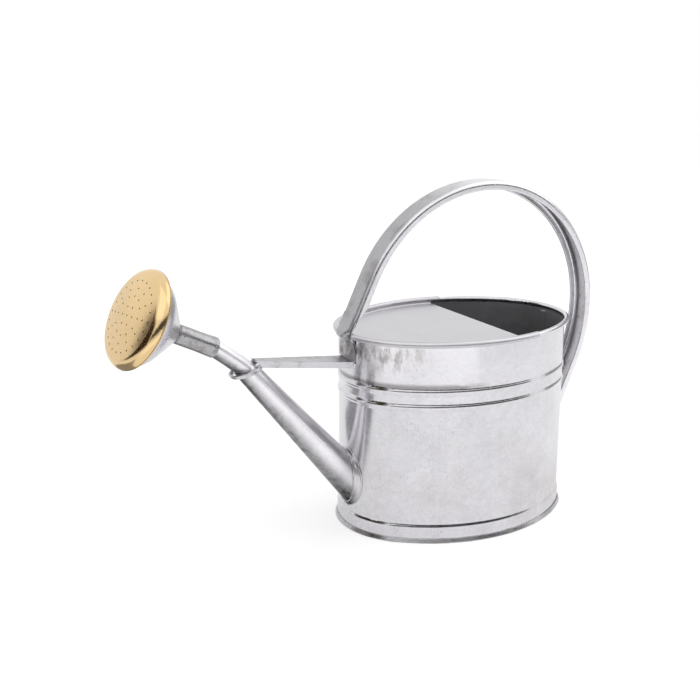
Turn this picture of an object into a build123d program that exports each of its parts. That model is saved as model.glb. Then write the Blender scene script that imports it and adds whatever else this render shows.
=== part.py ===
from build123d import *
import os
from math import acos, atan2, cos, degrees, radians, sin, sqrt, tan

# Oval watering can of zinc-coated sheet steel with a brass-faced rose, in millimetres.
# Z is up, the spout points to -X and the handle's back leg is at +X.
# The origin is the middle of the folded lip that the can stands on.

# Sheets, wire and fits
CAN_SHEET = 0.7
HANDLE_SHEET = 0.8
FACE_SHEET = 0.6
WIRE_DIAMETER = 3.2
SEAT_GAP = 0.1  # between fixed pieces that lie on one another
SLIP_GAP = 0.05  # all round, rose sleeve on the spout's tip
TURN_GAP = 0.05  # all round, neck of the rose cup in its sleeve
CUP_GAP = 0.3  # between the sleeve's end and the back of the cup

# Body: an oval of four tangent arcs, measured outside the wall
OVAL_LENGTH = 220.5
OVAL_WIDTH = 164.6
OVAL_END_RADIUS = 66.0
RIM_HEIGHT = 180.0  # centre of the rolled rim
RIM_CURL = 285.0  # degrees that the wall is rolled round the wire
LOW_BEAD_HEIGHT = 124.0
BEAD_PITCH = 13.5
BEAD_WIDTH = 8.0
BEAD_RISE = 1.0
SKIRT_HEIGHT = 13.0
SKIRT_STEP = 1.2
SKIRT_SLOPE = 5.0  # height over which the wall steps out to the skirt
SEAM_WIDTH = 6.5
SEAM_SIDE = 7.5  # middle of the lap seam, from the middle of the back end
SEAM_END_CLEARANCE = 5.0

# Base pan
FLOOR_HEIGHT = 9.0
FLOOR_BEND = 2.0
LIP_HEIGHT = 4.0
LIP_BEND = 0.5
LIP_SPREAD = 1.3  # how far the lip's foot stands out past its top edge

# Half cover
COVER_EDGE = 25.0  # straight edge, from the middle of the oval
COVER_DROP = 3.0  # plate below the rim's centre
COVER_BEND = 1.6
COVER_CURL = 205.0  # degrees over the rim
COVER_CURL_PAST = 10.0  # how far the curl runs on past the straight edge
COVER_HEM = 7.0
COVER_NOTCH_CLEARANCE = 1.0  # beside the handle's foot, where the curl is cut away

# Handle hoop: the line of the outer face of its web
HOOP_TOP = 306.6
HOOP_TOP_SIDE = 27.5  # top of the hoop, from the middle of the oval
HOOP_FRONT_LEAN = 65.0  # front leg above the horizontal
HOOP_WAIST_OUT = 41.75  # furthest point of the back leg, out from the wall
HOOP_WAIST_LIFT = 2.1  # and above the rim's centre
HOOP_LOW_RADIUS = 146.0
HOOP_LOW_LEAN = 23.5  # lower run of the back leg off the vertical
HANDLE_WIDTH = 24.0
HANDLE_DEPTH = 8.0
HANDLE_CORNER = 4.0
HEM_RADIUS = 0.6
HEM_LENGTH = 2.4
FOOT_LAP = 0.4  # each foot starts this far inside the face of the leg it is hammered from
FRONT_FOOT_WIDTH = 31.0
FRONT_FOOT_DROP = 21.0  # below the rim's centre
FRONT_FOOT_BEND = 6.0
FRONT_FOOT_OVERLAP = 12.0  # up the leg from the rim
FLANGE_RUN_OUT = 30.0  # length of leg over which the front flanges narrow away
BACK_FOOT_WIDTH = 36.0
BACK_FOOT_LENGTH = 22.0
BACK_FOOT_BEND = 20.0
BACK_FOOT_OVERLAP = 16.0
RIVET_DIAMETER = 3.0
RIVET_HEAD_DIAMETER = 5.0
RIVET_HEAD_RISE = 0.9
FRONT_RIVET_PITCH = 18.0
BACK_RIVET_PITCH = 27.0  # clear of the lap seam inside the wall
RIVET_EDGE = 6.0  # from the lower end of the foot

# Spout
SPOUT_HEIGHT = 48.5  # where its axis meets the wall
SPOUT_RISE = 49.7  # degrees above the horizontal
SPOUT_LENGTH = 149.0
SPOUT_BASE_DIAMETER = 32.0
SPOUT_TOP_DIAMETER = 19.0
COLLAR_SIDE_MARGIN = 5.0
COLLAR_END_MARGIN = 3.5
COLLAR_REACH = 2.2  # out from the wall, along X
COLLAR_LIP = 0.6
COLLAR_RINGS = 4
ELBOW_SPIGOT = 12.0  # length inside the spout
ELBOW_DIAMETER = 16.0
ELBOW_LENGTH = 38.0  # straight across the bend
ELBOW_EASE = 4.0  # how gently it leaves the spout and meets the tip
ELBOW_RINGS = 6
TIP_DIAMETER = 15.0
TIP_RISE = 26.75
TIP_YAW = 8.4  # the tip is set a little to one side

# Brace
LOOP_RISE = 75.0  # the loop, and the spout's top, are cut square to this rise
LOOP_WIDTH = 3.4
LOOP_THICKNESS = 2.0
LOOP_SLACK = 1.2  # how far it hangs off centre, away from the strut
LOOP_ROUNDING = 0.7
STRUT_DROP = 22.0  # top of its wall end, below the rim's centre
STRUT_LIFT = 7.7  # its top aims this far above the middle of the spout's top
STRUT_WALL_WIDTH = 25.0
STRUT_TAPER = 4.3  # degrees that each side draws in
STRUT_DEPTH = 5.5

# Rose
SLEEVE_LENGTH = 37.5
SLEEVE_GRIP = 24.0  # length pushed over the tip
SLEEVE_LAP = 1.8  # of that grip, over the end of the bend
SLEEVE_MOUTH_DIAMETER = 17.8
SLEEVE_MOUTH_LENGTH = 16.0
SLEEVE_SLIT = 0.8
NECK_LENGTH = 11.0
CUP_DIAMETER = 77.0
CUP_DEPTH = 34.0
CUP_CONE_ANGLE = 48.0  # between its side and its axis
CUP_CONE_LENGTH = 31.5  # along the side, up to the round shoulder
FACE_DIAMETER = 82.5
FACE_RISE = 11.0
FACE_SHOULDER_RADIUS = 8.0
FACE_ROLL = 130.0  # degrees that the edge is rolled under the cup's flange
FACE_ROLL_RADIUS = 1.0
HOLE_DIAMETER = 1.4
HOLE_RADII = (7.9, 16.0, 22.5, 29.3)  # of the rings of holes
HOLE_COUNTS = (6, 12, 12, 24)
HOLE_TURN = 2.0  # degrees that every ring is turned from level

# Oval worked out from its length, width and end radius
END_CENTRE = OVAL_LENGTH / 2 - OVAL_END_RADIUS
SIDE_RADIUS = (OVAL_LENGTH**2 / 4 - OVAL_LENGTH * OVAL_END_RADIUS + OVAL_WIDTH**2 / 4) / (
    OVAL_WIDTH - 2 * OVAL_END_RADIUS
)
SIDE_CENTRE = SIDE_RADIUS - OVAL_WIDTH / 2
END_ANGLE = degrees(atan2(SIDE_CENTRE, END_CENTRE))

# Rolled rim: distances out from the wall's outer face, and what is bent over the rim
CURL_RADIUS = WIRE_DIAMETER / 2 + SEAT_GAP + CAN_SHEET / 2
RIM_OUT = CURL_RADIUS - CAN_SHEET / 2
COVER_CURL_RADIUS = CURL_RADIUS + CAN_SHEET + SEAT_GAP
FOOT_CURL_RADIUS = CURL_RADIUS + CAN_SHEET / 2 + SEAT_GAP + HANDLE_SHEET / 2
FOOT_OUT = SEAT_GAP + HANDLE_SHEET / 2  # middle of a foot's sheet, out from the wall
FAR = 2 * (OVAL_LENGTH + HOOP_TOP)  # longer than the can, for cutting


def turn(angle, length=1.0):
    """Vector of this length in a section, at an angle from its x axis."""
    return Vector(length * cos(radians(angle)), length * sin(radians(angle)))


def line(start, end):
    return Edge.make_line(start, end)


def arc(centre, radius, start, size):
    return CenterArc(centre, radius, start, size).edge()


def quarter_oval(centre, half_length, half_height):
    """Quarter of an oval, from its top to its far side."""
    clockwise = AngularDirection.CLOCKWISE
    return EllipticalCenterArc(centre, half_length, half_height, 90, 0, angular_direction=clockwise).edge()


def s_bend(start, end):
    """Two equal arcs that lead smoothly from one upright run of sheet to another."""
    middle = (start + end) * 0.5
    return [
        TangentArc(start, middle, tangent=(0, 1)).edge(),
        TangentArc(end, middle, tangent=(0, -1)).edge(),
    ]


def sheet(edges, thickness):
    """Upright section of a sheet, from its middle line."""
    return Plane.XZ * Face(Wire(edges).offset_2d(thickness / 2, side=Side.BOTH))


def swing(section, centre, radius, middle, half_angle):
    """Revolve an upright section about a vertical line, to both sides of its middle."""
    placed = Pos(*centre) * Rot(0, 0, middle - half_angle) * Pos(radius, 0) * section
    return revolve(placed, Axis((*centre, 0), (0, 0, 1)), 2 * half_angle)


def round_end(section, middle, half_angle):
    """Sweep a section along one end of the oval. Its x is the distance out from the wall."""
    centre = END_CENTRE if middle == 0 else -END_CENTRE
    return swing(section, (centre, 0), OVAL_END_RADIUS, middle, half_angle)


def round_oval(section):
    """Sweep a section all the way round the oval."""
    ring = round_end(section, 0, END_ANGLE) + round_end(section, 180, END_ANGLE)
    for middle, centre in ((90, -SIDE_CENTRE), (-90, SIDE_CENTRE)):
        ring += swing(section, (0, centre), SIDE_RADIUS, middle, 90 - END_ANGLE)
    return ring


def oval_block(out, low, high):
    """Solid oval whose side is this far out from the wall."""
    end = OVAL_END_RADIUS + out
    side = SIDE_RADIUS + out
    side_sweep = 180 - 2 * END_ANGLE
    edges = [
        arc((END_CENTRE, 0), end, -END_ANGLE, 2 * END_ANGLE),
        arc((0, -SIDE_CENTRE), side, END_ANGLE, side_sweep),
        arc((-END_CENTRE, 0), end, 180 - END_ANGLE, 2 * END_ANGLE),
        arc((0, SIDE_CENTRE), side, 180 + END_ANGLE, side_sweep),
    ]
    return Pos(0, 0, low) * extrude(Face(Wire(edges)), high - low)


def slab(low_x, high_x, low_z, high_z):
    """Box across the whole can."""
    size = (high_x - low_x, FAR, high_z - low_z)
    return Pos((low_x + high_x) / 2, 0, (low_z + high_z) / 2) * Box(*size)


# Body
def make_body_wall():
    middle = -CAN_SHEET / 2
    skirt = middle + SKIRT_STEP
    foot = Vector(skirt, CAN_SHEET + SEAT_GAP + CAN_SHEET / 2)
    step = Vector(skirt, SKIRT_HEIGHT)
    top = Vector(middle, SKIRT_HEIGHT + SKIRT_SLOPE)
    edges = [line(foot, step), *s_bend(step, top)]
    for height in (LOW_BEAD_HEIGHT, LOW_BEAD_HEIGHT + BEAD_PITCH):
        low = Vector(middle, height - BEAD_WIDTH / 2)
        high = Vector(middle, height + BEAD_WIDTH / 2)
        crest = Vector(middle + BEAD_RISE, height)
        edges += [line(top, low), *s_bend(low, crest), *s_bend(crest, high)]
        top = high
    edges.append(line(top, Vector(middle, RIM_HEIGHT)))
    edges.append(arc((RIM_OUT, RIM_HEIGHT), CURL_RADIUS, 180, -RIM_CURL))
    wall = round_oval(sheet(edges, CAN_SHEET))

    seam_low = SKIRT_HEIGHT + SKIRT_SLOPE + SEAM_END_CLEARANCE
    seam_high = RIM_HEIGHT - SEAM_END_CLEARANCE
    seam = sheet([line((-1.5 * CAN_SHEET, seam_low), (-1.5 * CAN_SHEET, seam_high))], CAN_SHEET)
    seam_turn = Rot(0, 0, degrees(SEAM_SIDE / OVAL_END_RADIUS))
    seam_place = Pos(END_CENTRE, 0) * seam_turn * Pos(-END_CENTRE, 0)
    wall += seam_place * round_end(seam, 0, degrees(SEAM_WIDTH / 2 / OVAL_END_RADIUS))

    wall -= spout_cone(-SPOUT_BASE_DIAMETER, SPOUT_BASE_DIAMETER, -CAN_SHEET)
    return drill_rivets(wall)


def make_rim_wire():
    return round_oval(Plane.XZ * Pos(RIM_OUT, RIM_HEIGHT) * Circle(WIRE_DIAMETER / 2).face())


def make_base_pan():
    inner = SKIRT_STEP - CAN_SHEET - SEAT_GAP - CAN_SHEET / 2
    lip_top = SKIRT_STEP + SEAT_GAP + CAN_SHEET / 2
    outer = lip_top + LIP_SPREAD
    low = CAN_SHEET / 2
    floor_end = inner - FLOOR_BEND
    plate_edge = floor_end - FLOOR_BEND
    edges = [
        line((plate_edge - FLOOR_BEND, FLOOR_HEIGHT), (floor_end, FLOOR_HEIGHT)),
        arc((floor_end, FLOOR_HEIGHT - FLOOR_BEND), FLOOR_BEND, 90, -90),
        line((inner, FLOOR_HEIGHT - FLOOR_BEND), (inner, low + LIP_BEND)),
        arc((inner + LIP_BEND, low + LIP_BEND), LIP_BEND, 180, 90),
        line((inner + LIP_BEND, low), (outer - LIP_BEND, low)),
        arc((outer - LIP_BEND, low + LIP_BEND), LIP_BEND, 270, 90),
        line((outer, low + LIP_BEND), (lip_top, LIP_HEIGHT - CAN_SHEET / 2)),
    ]
    plate = oval_block(plate_edge, FLOOR_HEIGHT - CAN_SHEET / 2, FLOOR_HEIGHT + CAN_SHEET / 2)
    return round_oval(sheet(edges, CAN_SHEET)) + plate


def make_top_cover():
    upturn = RIM_OUT - COVER_CURL_RADIUS
    plate = RIM_HEIGHT - COVER_DROP
    flat_end = upturn - COVER_BEND
    plate_edge = flat_end - COVER_BEND
    low = plate - CAN_SHEET / 2
    high = plate + CAN_SHEET / 2
    curl = arc((RIM_OUT, RIM_HEIGHT), COVER_CURL_RADIUS, 180, -COVER_CURL)
    edges = [
        line((plate_edge - COVER_BEND, plate), (flat_end, plate)),
        arc((flat_end, plate + COVER_BEND), COVER_BEND, 270, 90),
        line((upturn, plate + COVER_BEND), (upturn, RIM_HEIGHT)),
        curl,
    ]
    edge_ring = round_oval(sheet(edges, CAN_SHEET)) + oval_block(plate_edge, low, high)
    cover = edge_ring & slab(-FAR, COVER_EDGE, 0, FAR)
    curl_ring = round_oval(sheet([curl], CAN_SHEET))
    cover += curl_ring & slab(-FAR, COVER_EDGE + COVER_CURL_PAST, 0, FAR)
    hem = slab(COVER_EDGE - COVER_HEM, COVER_EDGE, low - CAN_SHEET, low)
    cover += oval_block(plate_edge, low - CAN_SHEET, low) & hem
    notch_size = 4 * COVER_CURL_RADIUS
    notch = Plane.XZ * Pos(notch_size / 2, RIM_HEIGHT) * Rectangle(notch_size, notch_size).face()
    notch_side = HANDLE_WIDTH / 2 + COVER_NOTCH_CLEARANCE
    return cover - round_end(notch, 180, degrees(notch_side / OVAL_END_RADIUS))


# Handle. Its line lies in the XZ plane and follows the outer face of the web.
FRONT_RIM = Vector(-OVAL_LENGTH / 2 - RIM_OUT, RIM_HEIGHT)
FRONT_OUT = turn(90 + HOOP_FRONT_LEAN)  # way the front leg's outer face looks
BACK_OUT = turn(-HOOP_LOW_LEAN)
HOOP_CROWN = Vector(HOOP_TOP_SIDE, HOOP_TOP)

# The front arc's radius makes the front leg run tangent to the roll of the foot over the rim
FOOT_OUTER_RADIUS = FOOT_CURL_RADIUS + HANDLE_SHEET / 2 + FOOT_LAP
HOOP_FRONT_RADIUS = ((FRONT_RIM - HOOP_CROWN).dot(FRONT_OUT) + FOOT_OUTER_RADIUS) / (
    1 - cos(radians(HOOP_FRONT_LEAN))
)
FRONT_CENTRE = HOOP_CROWN - Vector(0, HOOP_FRONT_RADIUS)
HOOP_WAIST = Vector(OVAL_LENGTH / 2 + HOOP_WAIST_OUT, RIM_HEIGHT + HOOP_WAIST_LIFT)
BACK_CENTRE = Vector(HOOP_CROWN.X, HOOP_WAIST.Y)
LOW_CENTRE = HOOP_WAIST - Vector(HOOP_LOW_RADIUS, 0)
LEG_START = FRONT_RIM + FRONT_OUT * FOOT_OUTER_RADIUS
LOW_START = LOW_CENTRE + BACK_OUT * HOOP_LOW_RADIUS

# The back leg runs straight until the bend that lays its foot on the wall
BACK_DOWN = turn(-90 - HOOP_LOW_LEAN)
BACK_BEND_OUT = FOOT_OUT + BACK_FOOT_BEND * (1 - cos(radians(HOOP_LOW_LEAN)))
BACK_MIDDLE_START = LOW_START - BACK_OUT * (HANDLE_SHEET / 2 + FOOT_LAP)
BACK_RUN = (BACK_MIDDLE_START.X - OVAL_LENGTH / 2 - BACK_BEND_OUT) / -BACK_DOWN.X
BACK_MIDDLE_END = BACK_MIDDLE_START + BACK_DOWN * BACK_RUN
BACK_FOOT_TOP = BACK_MIDDLE_END.Y - BACK_FOOT_BEND * sin(radians(HOOP_LOW_LEAN))
BACK_FOOT_LOW = BACK_FOOT_TOP - BACK_FOOT_LENGTH
FRONT_FOOT_LOW = RIM_HEIGHT - FRONT_FOOT_DROP


def rivet_places():
    """Where the rivets of both feet go: x out from the wall."""
    back = (0, END_CENTRE, BACK_FOOT_LOW, BACK_RIVET_PITCH)
    front = (180, -END_CENTRE, FRONT_FOOT_LOW, FRONT_RIVET_PITCH)
    for middle, centre, low, pitch in (back, front):
        for side in (-pitch / 2, pitch / 2):
            way = Rot(0, 0, middle + degrees(side / OVAL_END_RADIUS))
            yield Pos(centre, 0, low + RIVET_EDGE) * way * Pos(OVAL_END_RADIUS)


def drill_rivets(piece):
    """Take the rivet holes out of a piece."""
    hole = Rot(0, 90, 0) * Cylinder(RIVET_DIAMETER / 2 + SEAT_GAP, 2 * HANDLE_DEPTH)
    for place in rivet_places():
        piece -= place * hole
    return piece


def make_rivet():
    """Rivet along X, whose x is the distance out from the wall."""
    ball = (RIVET_HEAD_DIAMETER**2 / 4 + RIVET_HEAD_RISE**2) / (2 * RIVET_HEAD_RISE)
    half_cap = degrees(atan2(RIVET_HEAD_DIAMETER / 2, ball - RIVET_HEAD_RISE))
    inside = -CAN_SHEET - SEAT_GAP
    outside = 2 * SEAT_GAP + HANDLE_SHEET
    head = RIVET_HEAD_DIAMETER / 2
    shank = RIVET_DIAMETER / 2
    inner_ball = Vector(inside - RIVET_HEAD_RISE + ball, 0)
    outer_ball = Vector(outside + RIVET_HEAD_RISE - ball, 0)
    edges = [
        line(inner_ball - (ball, 0), outer_ball + (ball, 0)),
        arc(outer_ball, ball, 0, half_cap),
        line((outside, head), (outside, shank)),
        line((outside, shank), (inside, shank)),
        line((inside, shank), (inside, head)),
        arc(inner_ball, ball, 180 - half_cap, half_cap),
    ]
    return revolve(Face(Wire(edges)), Axis.X)


def make_handle_rivets():
    return Compound(children=[place * make_rivet() for place in rivet_places()])


def channel_section():
    """Channel across the handle: x over its width, y out of the hoop, 0 at the outer face."""
    side = HANDLE_WIDTH / 2 - HANDLE_SHEET / 2
    bend = HANDLE_CORNER - HANDLE_SHEET / 2
    hem_centre = -HANDLE_DEPTH + HANDLE_SHEET / 2 + HEM_RADIUS
    edges = []
    for way in (1, -1):
        start = 0 if way > 0 else 180
        hem_x = side - 2 * HEM_RADIUS
        edges += [
            line((0, -HANDLE_SHEET / 2), (way * (side - bend), -HANDLE_SHEET / 2)),
            arc((way * (side - bend), -HANDLE_SHEET / 2 - bend), bend, 90, -way * 90),
            line((way * side, -HANDLE_SHEET / 2 - bend), (way * side, hem_centre)),
            arc((way * (side - HEM_RADIUS), hem_centre), HEM_RADIUS, start, -way * 180),
            line((way * hem_x, hem_centre), (way * hem_x, hem_centre + HEM_LENGTH)),
        ]
    return Face(Wire(edges).offset_2d(HANDLE_SHEET / 2, side=Side.BOTH))


def make_handle_hoop():
    leg_end = FRONT_CENTRE + FRONT_OUT * HOOP_FRONT_RADIUS
    hoop_line = Wire(
        [
            line(LEG_START, leg_end),
            arc(FRONT_CENTRE, HOOP_FRONT_RADIUS, 90 + HOOP_FRONT_LEAN, -HOOP_FRONT_LEAN),
            quarter_oval(BACK_CENTRE, HOOP_WAIST.X - HOOP_CROWN.X, HOOP_CROWN.Y - HOOP_WAIST.Y),
            arc(LOW_CENTRE, HOOP_LOW_RADIUS, 0, -HOOP_LOW_LEAN),
            line(LOW_START, LOW_START + BACK_DOWN * BACK_RUN),
        ]
    )
    path = Plane.XZ * hoop_line
    start = Plane(path @ 0, x_dir=(0, 1, 0), z_dir=path % 0)
    hoop = sweep(start * channel_section(), path)

    # the front flanges narrow away towards the rim
    up_leg = turn(HOOP_FRONT_LEAN)
    narrow = LEG_START - FRONT_OUT * (HANDLE_SHEET + SEAT_GAP)
    wide = LEG_START + up_leg * FLANGE_RUN_OUT - FRONT_OUT * HANDLE_DEPTH
    inward = FRONT_OUT * (-2 * HANDLE_DEPTH)
    run_out = Wire.make_polygon([narrow, wide, wide + inward, narrow + inward])
    hoop -= extrude(Plane.XZ * Face(run_out), HANDLE_WIDTH, both=True)
    hoop -= oval_block(SEAT_GAP, 0, RIM_HEIGHT)

    hoop += foot(front_foot_section(), 180, FRONT_FOOT_WIDTH, FRONT_FOOT_LOW, RIM_HEIGHT)
    hoop += foot(back_foot_section(), 0, BACK_FOOT_WIDTH, BACK_FOOT_LOW, BACK_MIDDLE_END.Y)
    return drill_rivets(hoop)


def foot(section, middle, width, low, high):
    """Foot of the handle: as wide as the handle at its top, spread to this width at its rivets."""
    rivets = low + RIVET_EDGE
    half = [
        Vector(HANDLE_WIDTH / 2, HOOP_TOP),
        Vector(HANDLE_WIDTH / 2, high),
        Vector(width / 2, rivets),
        Vector(width, rivets),
        Vector(width, 0),
    ]
    outline = half + [Vector(-point.X, point.Y) for point in reversed(half)]
    shape = extrude(Plane.YZ * Face(Wire.make_polygon(outline)), FAR, both=True)
    return round_end(section, middle, degrees(width / 2 / OVAL_END_RADIUS)) & shape


def front_foot_section():
    """From the leg, over the rim and down the wall."""
    rim = Vector(RIM_OUT, RIM_HEIGHT)
    reach = FOOT_CURL_RADIUS + FRONT_FOOT_BEND
    bend_x = FOOT_OUT + FRONT_FOOT_BEND
    bend = Vector(bend_x, RIM_HEIGHT - sqrt(reach**2 - (bend_x - RIM_OUT) ** 2))
    meeting = degrees(atan2(bend.Y - rim.Y, bend.X - rim.X))
    leg_angle = 90 - HOOP_FRONT_LEAN
    on_rim = rim + turn(leg_angle, FOOT_CURL_RADIUS)
    edges = [
        line(on_rim + turn(leg_angle + 90, FRONT_FOOT_OVERLAP), on_rim),
        arc(rim, FOOT_CURL_RADIUS, leg_angle, meeting - leg_angle),
        arc(bend, FRONT_FOOT_BEND, 180 + meeting, -meeting),
        line((FOOT_OUT, bend.Y), (FOOT_OUT, FRONT_FOOT_LOW)),
    ]
    return sheet(edges, HANDLE_SHEET)


def back_foot_section():
    """From the leg down onto the wall."""
    out = Vector(OVAL_LENGTH / 2, 0)
    bend = Vector(FOOT_OUT + BACK_FOOT_BEND, BACK_FOOT_TOP)
    edges = [
        line(BACK_MIDDLE_END - BACK_DOWN * BACK_FOOT_OVERLAP - out, BACK_MIDDLE_END - out),
        arc(bend, BACK_FOOT_BEND, 180 - HOOP_LOW_LEAN, HOOP_LOW_LEAN),
        line((FOOT_OUT, BACK_FOOT_TOP), (FOOT_OUT, BACK_FOOT_LOW)),
    ]
    return sheet(edges, HANDLE_SHEET)


# Spout. Distances along it start where its axis meets the wall.
SPOUT_WAY = Vector(-cos(radians(SPOUT_RISE)), 0, sin(radians(SPOUT_RISE)))
SPOUT_FOOT = Vector(-OVAL_LENGTH / 2, 0, SPOUT_HEIGHT)
SPOUT_TOP = SPOUT_FOOT + SPOUT_WAY * SPOUT_LENGTH
TIP_LEVEL = cos(radians(TIP_RISE))
TIP_WAY = Vector(
    -TIP_LEVEL * cos(radians(TIP_YAW)), -TIP_LEVEL * sin(radians(TIP_YAW)), sin(radians(TIP_RISE))
)


def spout_radius(along):
    """Outside radius of the spout at this distance along it."""
    return (SPOUT_BASE_DIAMETER + (SPOUT_TOP_DIAMETER - SPOUT_BASE_DIAMETER) * along / SPOUT_LENGTH) / 2


def spout_cone(low, high, grown=0.0):
    """Solid cone of the spout between two distances along it, grown or shrunk all round."""
    place = Plane(SPOUT_FOOT + SPOUT_WAY * low, x_dir=(0, 1, 0), z_dir=SPOUT_WAY)
    at_foot = (Align.CENTER, Align.CENTER, Align.MIN)
    return place * Cone(spout_radius(low) + grown, spout_radius(high) + grown, high - low, align=at_foot)


def across_spout(low, high):
    """Slab across the spout's top, slanted like it: heights are measured from that top."""
    way = Vector(-cos(radians(LOOP_RISE)), 0, sin(radians(LOOP_RISE)))
    place = Plane(SPOUT_TOP + way * low, x_dir=(0, 1, 0), z_dir=way)
    return place * extrude(Rectangle(FAR, FAR).face(), high - low)


def make_spout_tube():
    low = -SPOUT_BASE_DIAMETER
    high = SPOUT_LENGTH + SPOUT_TOP_DIAMETER
    tube = spout_cone(low, high) - spout_cone(low, high, -CAN_SHEET)
    tube -= oval_block(SEAT_GAP, 0, RIM_HEIGHT)
    return tube - across_spout(0, FAR)


def spout_oval(x_out):
    """Upright cut through the spout's cone: height of its middle, half its width, half its height."""
    level = cos(radians(SPOUT_RISE))
    up = sin(radians(SPOUT_RISE))
    taper = (spout_radius(0) - spout_radius(SPOUT_LENGTH)) / SPOUT_LENGTH
    top_along = (x_out + spout_radius(0) * up) / (level + taper * up)
    low_along = (x_out - spout_radius(0) * up) / (level - taper * up)
    top = top_along * up + spout_radius(top_along) * level
    low = low_along * up - spout_radius(low_along) * level
    half_width = sqrt(spout_radius(top_along) * spout_radius(low_along))
    return SPOUT_HEIGHT + (top + low) / 2, half_width, (top - low) / 2


def make_spout_collar():
    """Flange that flares from the spout to the wall, thick enough to be soldered to both."""
    half_flange = spout_oval(0)[1] + COLLAR_SIDE_MARGIN
    inside = sqrt(OVAL_END_RADIUS**2 - half_flange**2) - OVAL_END_RADIUS  # where its sides meet the wall
    rings = []
    for step in range(COLLAR_RINGS + 1):
        left = 1 - step / COLLAR_RINGS
        x_out = COLLAR_REACH - (COLLAR_REACH - inside) * left
        height, half_width, half_height = spout_oval(x_out)
        wide = half_width + COLLAR_LIP + (COLLAR_SIDE_MARGIN - COLLAR_LIP) * left**2
        tall = half_height + COLLAR_LIP + (COLLAR_END_MARGIN - COLLAR_LIP) * left**2
        plane = Plane((-OVAL_LENGTH / 2 - x_out, 0, height), x_dir=(0, 1, 0), z_dir=(-1, 0, 0))
        rings.append(plane * Ellipse(wide, tall).face())
    collar = loft(rings) - spout_cone(-SPOUT_BASE_DIAMETER, SPOUT_LENGTH, SEAT_GAP)
    return collar - oval_block(SEAT_GAP, 0, RIM_HEIGHT)


# Elbow: it turns from the spout's way to the tip's way, by half on leaving the spout
ELBOW_BEND = acos(SPOUT_WAY.dot(TIP_WAY))
ELBOW_ASIDE = (TIP_WAY - SPOUT_WAY * SPOUT_WAY.dot(TIP_WAY)).normalized()
ELBOW_ACROSS = SPOUT_WAY * cos(ELBOW_BEND / 2) + ELBOW_ASIDE * sin(ELBOW_BEND / 2)
ELBOW_END = SPOUT_TOP + ELBOW_ACROSS * ELBOW_LENGTH


def elbow_skin(shrunk):
    """Solid elbow, shrunk all round: spigot, tapered bend and straight tip."""
    side = SPOUT_WAY.cross(ELBOW_ASIDE)
    leaving = SPOUT_TOP + SPOUT_WAY * ELBOW_EASE
    arriving = ELBOW_END - TIP_WAY * ELBOW_EASE
    line_of_bend = Bezier(SPOUT_TOP, leaving, arriving, ELBOW_END)
    rings = []
    for ring in range(ELBOW_RINGS + 1):
        part = ring / ELBOW_RINGS
        size = ELBOW_DIAMETER + (TIP_DIAMETER - ELBOW_DIAMETER) * part
        place = Plane(line_of_bend @ part, x_dir=side, z_dir=line_of_bend % part)
        rings.append(place * Circle(size / 2 - shrunk).face())
    low = SPOUT_LENGTH - ELBOW_SPIGOT
    inside = spout_radius(low) - CAN_SHEET - SEAT_GAP - shrunk
    spigot = Plane(SPOUT_FOOT + SPOUT_WAY * low, x_dir=side, z_dir=SPOUT_WAY) * Circle(inside).face()
    elbow = loft(rings) + loft([spigot, rings[0]])
    return elbow + extrude(rings[-1], SLEEVE_GRIP - SLEEVE_LAP)


def make_spout_elbow():
    return elbow_skin(0) - elbow_skin(CAN_SHEET)


# Brace
def loop_cone(grown):
    """Solid cone that hangs off centre on the spout, and lies this far off it at the strut's side."""
    slack = Vector(-sin(radians(SPOUT_RISE)), 0, -cos(radians(SPOUT_RISE))) * LOOP_SLACK
    return Pos(*slack) * spout_cone(0, 2 * SPOUT_LENGTH, grown + LOOP_SLACK)


def make_brace_loop():
    """Band that hangs round the slanted top of the spout, its outer edges rounded."""
    band = loop_cone(SEAT_GAP + LOOP_THICKNESS) - loop_cone(SEAT_GAP)
    band &= across_spout(-LOOP_WIDTH, 0)
    return fillet(band.edges().sort_by(SortBy.LENGTH)[-2:], LOOP_ROUNDING)


def make_brace_strut():
    """Folded strip, open below, from the wall to the loop."""
    at_wall = Vector(-OVAL_LENGTH / 2, 0, RIM_HEIGHT - STRUT_DROP)
    way = (SPOUT_TOP + Vector(0, 0, STRUT_LIFT) - at_wall).normalized()
    top = Plane(at_wall, x_dir=way, z_dir=Vector(0, 1, 0).cross(way))
    length = SPOUT_LENGTH * cos(radians(SPOUT_RISE))
    start = -STRUT_WALL_WIDTH / 2
    draw = tan(radians(STRUT_TAPER))

    def wedge(inset, depth):
        near = STRUT_WALL_WIDTH / 2 - inset - start * draw
        far = STRUT_WALL_WIDTH / 2 - inset - length * draw
        plan = Wire.make_polygon([(start, -near), (length, -far), (length, far), (start, near)])
        return Pos(0, 0, -depth) * extrude(Face(plan), depth)

    strip = wedge(0, STRUT_DEPTH) - Pos(0, 0, -CAN_SHEET) * wedge(CAN_SHEET, STRUT_DEPTH)
    strip = top * strip - oval_block(SEAT_GAP, 0, RIM_HEIGHT)
    strip -= loop_cone(2 * SEAT_GAP + LOOP_THICKNESS)
    return strip.solids().sort_by(Axis.X)[-1]  # the part on the wall's side of the spout


# Rose. Distances along it start at the sleeve's mouth.
SLEEVE_BORE = TIP_DIAMETER / 2 + SLIP_GAP
CUP_BACK = SLEEVE_LENGTH + CUP_GAP + CAN_SHEET / 2
CUP_RIM = CUP_BACK + CUP_DEPTH
FACE_ROLL_CENTRE = (FACE_DIAMETER - FACE_SHEET) / 2 - FACE_ROLL_RADIUS


def rose_place():
    """Frame at the sleeve's mouth: z out along the tip, x level and to the side the tip is set."""
    return Plane(ELBOW_END - TIP_WAY * SLEEVE_LAP, x_dir=Vector(0, 0, 1).cross(TIP_WAY), z_dir=TIP_WAY)


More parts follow.
